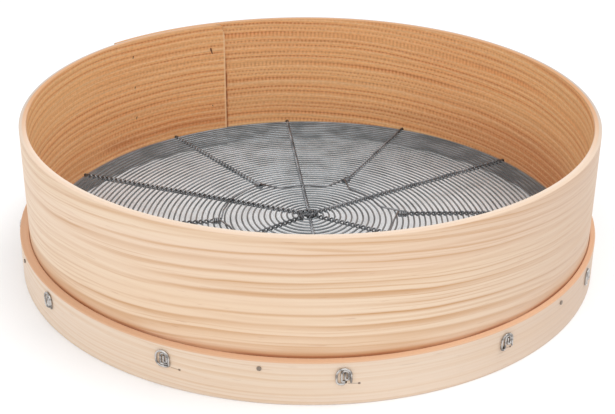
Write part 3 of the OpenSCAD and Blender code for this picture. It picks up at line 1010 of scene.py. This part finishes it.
def curled_end(a, side, is_ring):
    """The end of a strand as corners and their radii: out through the hole, then up and round
    on the band's face, as the ring of a curl or folded up inside it."""
    left_l = curl_left_ls.get(a % 360, curl_left_l)
    half_a = math.degrees(left_l / rim_r)
    face = max(band_face(a), band_face(a - half_a), band_face(a + half_a))
    n = face + wire_gap + wire_d / 2 + is_ring * ring_proud
    z = screen_z + side * strand_off_z
    top = screen_z - strand_off_z + curl_h
    right = curl_w - left_l
    if is_ring:
        turn_r = curl_w / 2
        corners = [(n, -left_l, z), (n, -left_l, top), (n, right, top), (n, right, z + curl_tail_l)]
        radii = [curl_bend_r, turn_r, turn_r, turn_r]
    else:
        left = fold_slot_l - left_l
        right, top, low = right - fold_in_l, top - fold_in_l, z + fold_in_l
        middle = (left + right) / 2
        turn_r = (right - left) / 2
        corners = [
            (n, left, z), (n, left, top), (n, right, top), (n, right, low),
            (n, middle, low), (n, middle, top - fold_in_l),
        ]
        radii = [fold_bend_r, fold_bend_r, turn_r, turn_r, fold_tip_r, fold_tip_r]
    corners = [(screen_r, 0, z), (n, 0, z)] + corners
    return [polar(*corner, a) for corner in corners], [lead_bend_r] + radii + [0]


def bow(a, bow_r, bow_half_l, is_link, side1, side2):
    """The bow between a wire's two legs, as corners and their radii. It lies on top of the
    turns or beneath them, and where its legs end on different sides it crosses in the gap
    between two turns. A link is long and follows the turns' own circle."""
    if bow_r > first_gap_r:
        bow_r = gap_radius(bow_r, a)
    split_x = math.sqrt(bow_r ** 2 - bow_half_l ** 2) if is_link else bow_r
    corners, radii = [], []
    for way, side in ((-1, side1), (1, side2)):
        stops = [(split_x, bow_half_l, side * lift, lead_bend_r)]
        if is_link:
            stops.append((bow_r, link_flat_half_l, side * lift, link_flat_bend_r))
        if side1 != side2:
            stops.append((bow_r, cross_half_l, 0, cross_bend_r))
        for x, half_l, rise, radius in stops[::-way]:
            corner = polar(x, way * half_l, 0, a)
            corner.z = screen_height(corner.length) + rise
            corners.append(corner)
            radii.append(radius)
    return corners, radii


def rib_wire(name, a, split_r, wraps, bow_r, bow_half_l, is_link, nodes):
    """One whole rib wire: curl, leg, bow, leg and curl, as one length of round wire."""
    a1, a2 = a - rib_step_a, a + rib_step_a
    leg1, side1 = twisted_leg(a1, 1, split_r, wraps, is_link)
    leg2, side2 = twisted_leg(a2, -1, split_r, wraps, is_link)
    end1, end_radii1 = curled_end(a1, 1, False)
    end2, end_radii2 = curled_end(a2, -1, True)
    middle, radii = bow(a, bow_r, bow_half_l, is_link, side1, side2)
    inner_path = rounded([leg1[0]] + middle + [leg2[0]], [0] + radii + [0])
    outer1 = rounded([leg1[-1]] + end1, [0] + end_radii1)
    outer2 = rounded([leg2[-1]] + end2, [0] + end_radii2)
    path = outer1[::-1] + leg1[-2:0:-1] + inner_path + leg2[1:-1] + outer2
    route = bpy.data.curves.new(name, "CURVE")
    route.dimensions = "3D"
    spline = route.splines.new("POLY")
    spline.points.add(len(path) - 1)
    for point, place in zip(spline.points, path):
        point.co = (*place, 1)
    piece = grown(wire_group, name, route, {"Wire diameter": wire_d, "Sides": wire_sides})
    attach(piece, "root")
    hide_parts(nodes)


for k in range(1, 7):
    between_a = first_long_a + (k - 0.5) * long_step_a
    rib_wire(
        f"long_rib_wire_{k}_twisted", between_a, hub_split_r, hub_wraps, hub_bow_rs[k % 2],
        hub_bow_half_l, False, f"long_rib_wire_{k}",
    )


# The short rib wires: six more of the same wire, on the ribs between the long ones. Each
# joins two short ribs, which start a good third of the way out, by a link that lies on top of
# the screen across the long rib between them.
link_split_r = 69 * MM
link_wraps = 4
link_bow_shares = [0.28, 0.27, 0.32, 0.31, 0.31, 0.32]
link_bow_half_l = 18.5 * MM
link_flat_half_l = 4.5 * MM
link_flat_bend_r = 5 * MM

for k in range(1, 7):
    long_rib_a = first_long_a + (k - 1) * long_step_a
    rib_wire(
        f"short_rib_wire_{k}_twisted", long_rib_a, link_split_r, link_wraps,
        screen_r * link_bow_shares[k - 1], link_bow_half_l, True, f"short_rib_wire_{k}",
    )


# The foot band's nails: round wire nails with small flat heads. Six go through the band into
# the rim between the curls, and two hold the band's own lap.
nail_d = 1.6 * MM
nail_head_d = 3 * MM
nail_head_t = 0.8 * MM
nail_l = 9.5 * MM
nail_sides = 20
nail_gap = 0.1 * MM
foot_nail_a = 22
foot_nail_drop = 5.3 * MM
band_nail_inset_a = math.degrees(12 * MM / rim_r)
nail_steel = steel(
    "nail_steel", rgb(158, 146, 134), rgb(104, 92, 82), rough=0.42, seed=11.0,
)


def nail_head(face):
    """The profile of a domed head with a worn edge, and of the neck under it."""
    top = face + nail_head_t
    head, shank = nail_head_d / 2, nail_d / 2
    return [
        (top, head * 0.25), (top - 0.02 * MM, head * 0.55), (top - 0.09 * MM, head * 0.8),
        (top - 0.24 * MM, head * 0.96), (top - 0.42 * MM, head), (face + 0.12 * MM, head * 0.98),
        (face + 0.02 * MM, head * 0.9), (face, shank * 1.1),
    ]


def nail_shank(face, end):
    """The profile of a straight shank with a tapered point."""
    shank = nail_d / 2
    return [(face - 0.5 * MM, shank), (end + 2 * MM, shank), (end, shank * 0.3)]


def nail_piece(name, points, faces, nodes, finish):
    """A finished nail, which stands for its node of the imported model."""
    mesh = bpy.data.meshes.new(name)
    mesh.from_pydata(points, [], faces)
    tidy_normals(mesh, sharp=50)
    mesh.materials.append(finish)
    piece = placed(name, mesh)
    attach(piece, "root")
    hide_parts(nodes)


# each nail's name, its angle and its height
band_nails = [
    (f"foot_nail_{k}", foot_nail_a + (k - 1) * long_step_a, band_h - foot_nail_drop)
    for k in range(1, 7)
]
band_nails += [
    ("band_lap_nail_1", band_lap_a1 + band_nail_inset_a, band_h / 2),
    ("band_lap_nail_2", band_lap_a2 - band_nail_inset_a, band_h / 2),
]
for name, a, z in band_nails:
    face = band_face(a) + nail_gap
    profile = nail_head(face) + nail_shank(face, face + nail_head_t - nail_l)
    points = turned(profile, a, z, nail_sides)
    nail_piece(f"{name}_driven", points, tube_faces(len(profile), nail_sides), name, nail_steel)


# The rim lap's nails: driven from outside and clenched on the inner face. Three hold the outer
# end of the strip and two the inner end, and each point is bent down along the wood.
rim_nail_inset_a = math.degrees(13 * MM / rim_r)
shank_sides = 12
clinch_l = 5 * MM
clinch_bend_r = 1.2 * MM
clinch_sunk = [1.35 * MM, 1.4 * MM, 1.35 * MM, 0.8 * MM, 1.4 * MM]
clinch_lean = [1.6 * MM, 1.2 * MM, 1.8 * MM, -1.3 * MM, -1.6 * MM]
clenched_iron = steel(
    "clenched_iron", rgb(140, 92, 62), rgb(104, 64, 42), rough=0.6, seed=17.0, metallic=0.1,
)


def bent_shank(path, a):
    """The points of a round shank that is bent along a path, and narrows at its point."""
    across = polar(0, 1, 0, a)
    points = []
    for i, place in enumerate(path):
        before, after = path[max(0, i - 1)], path[min(len(path) - 1, i + 1)]
        third = (after - before).normalized().cross(across)
        half = nail_d / 2 * (0.45 if i == len(path) - 1 else 1)
        for j in range(shank_sides):
            b = 2 * math.pi * j / shank_sides
            points.append(place + (across * math.cos(b) + third * math.sin(b)) * half)
    return points


# each nail's angle, and its height as a share of the rim's
lap_nails = [(rim_lap_a2 - rim_nail_inset_a, share) for share in (0.89, 0.65, 0.41)]
lap_nails += [(rim_lap_a1 + rim_nail_inset_a, share) for share in (0.82, 0.36)]
for k, (a, share) in enumerate(lap_nails, 1):
    z = rim_h * share
    face = rim_r + rim_bulge(a) + nail_gap
    inside = taper(a, rim_lap_a1, rim_lap_a2, rim_in_r - rim_tip_t, rim_in_r)
    bent_r = inside - nail_d / 2 + clinch_sunk[k - 1]
    tip = polar(bent_r, clinch_lean[k - 1], z - clinch_l, a)
    corners = [polar(face, 0, z, a), polar(bent_r, 0, z, a), tip]
    path = rounded(corners, [0, clinch_bend_r, 0])
    head = nail_head(face)
    points = turned(head, a, z, nail_sides)
    faces = tube_faces(len(head), nail_sides) + tube_faces(len(path), shank_sides, len(points))
    points += bent_shank(path, a)
    nail_piece(f"rim_lap_nail_{k}_clenched", points, faces, f"rim_lap_nail_{k}", clenched_iron)
